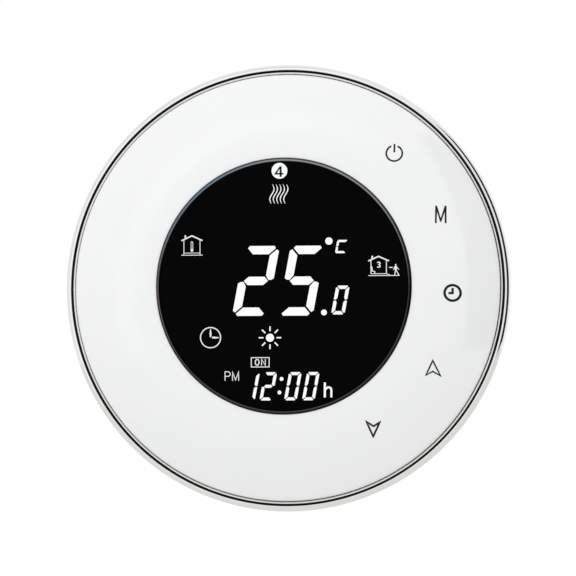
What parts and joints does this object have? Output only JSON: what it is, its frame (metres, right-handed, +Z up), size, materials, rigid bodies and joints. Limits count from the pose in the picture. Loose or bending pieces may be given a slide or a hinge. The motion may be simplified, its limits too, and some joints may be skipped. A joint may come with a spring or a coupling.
{
  "type": "round wall thermostat",
  "caption": "Round wall thermostat with a domed glossy face, a black round display, touch keys, a chrome rim, and a power unit with clamp terminals that sits in a round wall box.",
  "frame": {"origin": "centre of the wall plane, midway between the two wall screws", "axes": "+Z up, face towards -Y, power case into the wall along +Y, +X to the viewer's right"},
  "size_m": [0.105, 0.0405, 0.105],
  "materials": {
    "white_gloss": "gloss",
    "white_satin": "satin",
    "black_plastic": "satin",
    "display_black": "gloss",
    "trim_metal": "satin anodised",
    "chrome": "polished",
    "black_rubber": "matt",
    "zinc_steel": "satin",
    "clear_glass": "polished",
    "light_guide": "frosted",
    "lamp_white": "gloss",
    "board_green": "solder mask",
    "spring_steel": "gold flash",
    "chip_black": "matt",
    "nickel": "polished",
    "resin": "gloss",
    "brass": "bright",
    "copper": "lacquered",
    "ferrite": "matt",
    "yellow_tape": "gloss",
    "relay_blue": "gloss",
    "capacitor_sleeve": "gloss",
    "film_yellow": "gloss",
    "varistor_blue": "gloss",
    "fuse_grey": "matt",
    "terminal_green": "satin",
    "soft_iron": "satin",
    "silver": "bright"
  },
  "bodies": {
    "wall_unit": {"mounting_plate": "white_satin", "ear_screws": "zinc_steel", "power_case": "black_plastic", "power_case_lid": "black_plastic", "lid_screws": "zinc_steel", "power_board": "board_green", "board_socket": "chip_black", "electrolytic_capacitors": "capacitor_sleeve", "input_capacitor": "film_yellow", "varistor": "varistor_blue", "fuse": "fuse_grey", "driver_chip": "chip_black", "transformer_core": "ferrite", "transformer_winding": "yellow_tape", "relay_case": "relay_blue", "relay_base": "chip_black", "relay_coil": "copper", "relay_yoke": "soft_iron", "relay_fixed_contact": "silver", "terminal_block": "terminal_green", "terminal_bars": "brass"},
    "front_unit": {"face_dome": "white_gloss", "display_trim_ring": "trim_metal", "display_glass": "display_black", "chrome_ring": "chrome", "rim_gasket": "black_rubber", "front_case": "white_satin", "case_screws": "zinc_steel", "lcd_front_glass": "clear_glass", "lcd_rear_glass": "clear_glass", "light_guide": "light_guide", "backlight_board": "board_green", "backlight_leds": "lamp_white", "lcd_holder": "black_plastic", "contact_strip": "black_rubber", "control_board": "board_green", "touch_springs": "spring_steel", "main_chip": "chip_black", "touch_chip": "chip_black", "clock_crystal": "nickel", "backup_cell": "nickel", "temperature_sensor": "resin", "chip_resistors": "chip_black", "header_base": "chip_black", "header_pins": "brass"},
    "relay_arm": {"relay_armature": "soft_iron", "relay_moving_contact": "silver"},
    "clamp_screw_1": {"terminal_screw_1": "zinc_steel"},
    "clamp_cage_1": {"terminal_cage_1": "nickel"},
    "clamp_screw_2": {"terminal_screw_2": "zinc_steel"},
    "clamp_cage_2": {"terminal_cage_2": "nickel"},
    "clamp_screw_3": {"terminal_screw_3": "zinc_steel"},
    "clamp_cage_3": {"terminal_cage_3": "nickel"},
    "clamp_screw_4": {"terminal_screw_4": "zinc_steel"},
    "clamp_cage_4": {"terminal_cage_4": "nickel"},
    "clamp_screw_5": {"terminal_screw_5": "zinc_steel"},
    "clamp_cage_5": {"terminal_cage_5": "nickel"},
    "clamp_screw_6": {"terminal_screw_6": "zinc_steel"},
    "clamp_cage_6": {"terminal_cage_6": "nickel"}
  },
  "joints": [
    {"name": "front_pull_off", "type": "slide", "parent": "wall_unit", "child": "front_unit", "axis": [0, -1, 0], "range_m": [0, 0.03]},
    {"name": "relay_arm_hinge", "type": "hinge", "parent": "wall_unit", "child": "relay_arm", "pos_m": [-0.00625, 0.0186, 0.0123], "axis": [1, 0, 0], "range_deg": [0, 4], "stiffness_Nm_per_rad": 0.02},
    {"name": "clamp_cage_1_rise", "type": "slide", "parent": "wall_unit", "child": "clamp_cage_1", "axis": [0, 1, 0], "range_m": [0, 0.002]},
    {"name": "clamp_screw_1_turn", "type": "hinge", "parent": "wall_unit", "child": "clamp_screw_1", "pos_m": [-0.0155, 0.018, -0.0166], "axis": [0, -1, 0], "range_deg": [0, 1440]},
    {"name": "clamp_cage_2_rise", "type": "slide", "parent": "wall_unit", "child": "clamp_cage_2", "axis": [0, 1, 0], "range_m": [0, 0.002]},
    {"name": "clamp_screw_2_turn", "type": "hinge", "parent": "wall_unit", "child": "clamp_screw_2", "pos_m": [-0.0093, 0.018, -0.0166], "axis": [0, -1, 0], "range_deg": [0, 1440]},
    {"name": "clamp_cage_3_rise", "type": "slide", "parent": "wall_unit", "child": "clamp_cage_3", "axis": [0, 1, 0], "range_m": [0, 0.002]},
    {"name": "clamp_screw_3_turn", "type": "hinge", "parent": "wall_unit", "child": "clamp_screw_3", "pos_m": [-0.0031, 0.018, -0.0166], "axis": [0, -1, 0], "range_deg": [0, 1440]},
    {"name": "clamp_cage_4_rise", "type": "slide", "parent": "wall_unit", "child": "clamp_cage_4", "axis": [0, 1, 0], "range_m": [0, 0.002]},
    {"name": "clamp_screw_4_turn", "type": "hinge", "parent": "wall_unit", "child": "clamp_screw_4", "pos_m": [0.0031, 0.018, -0.0166], "axis": [0, -1, 0], "range_deg": [0, 1440]},
    {"name": "clamp_cage_5_rise", "type": "slide", "parent": "wall_unit", "child": "clamp_cage_5", "axis": [0, 1, 0], "range_m": [0, 0.002]},
    {"name": "clamp_screw_5_turn", "type": "hinge", "parent": "wall_unit", "child": "clamp_screw_5", "pos_m": [0.0093, 0.018, -0.0166], "axis": [0, -1, 0], "range_deg": [0, 1440]},
    {"name": "clamp_cage_6_rise", "type": "slide", "parent": "wall_unit", "child": "clamp_cage_6", "axis": [0, 1, 0], "range_m": [0, 0.002]},
    {"name": "clamp_screw_6_turn", "type": "hinge", "parent": "wall_unit", "child": "clamp_screw_6", "pos_m": [0.0155, 0.018, -0.0166], "axis": [0, -1, 0], "range_deg": [0, 1440]}
  ],
  "couplings": [
    {"joint": "clamp_screw_1_turn", "follows": "clamp_cage_1_rise", "rad_per_m": 12566},
    {"joint": "clamp_screw_2_turn", "follows": "clamp_cage_2_rise", "rad_per_m": 12566},
    {"joint": "clamp_screw_3_turn", "follows": "clamp_cage_3_rise", "rad_per_m": 12566},
    {"joint": "clamp_screw_4_turn", "follows": "clamp_cage_4_rise", "rad_per_m": 12566},
    {"joint": "clamp_screw_5_turn", "follows": "clamp_cage_5_rise", "rad_per_m": 12566},
    {"joint": "clamp_screw_6_turn", "follows": "clamp_cage_6_rise", "rad_per_m": 12566}
  ]
}
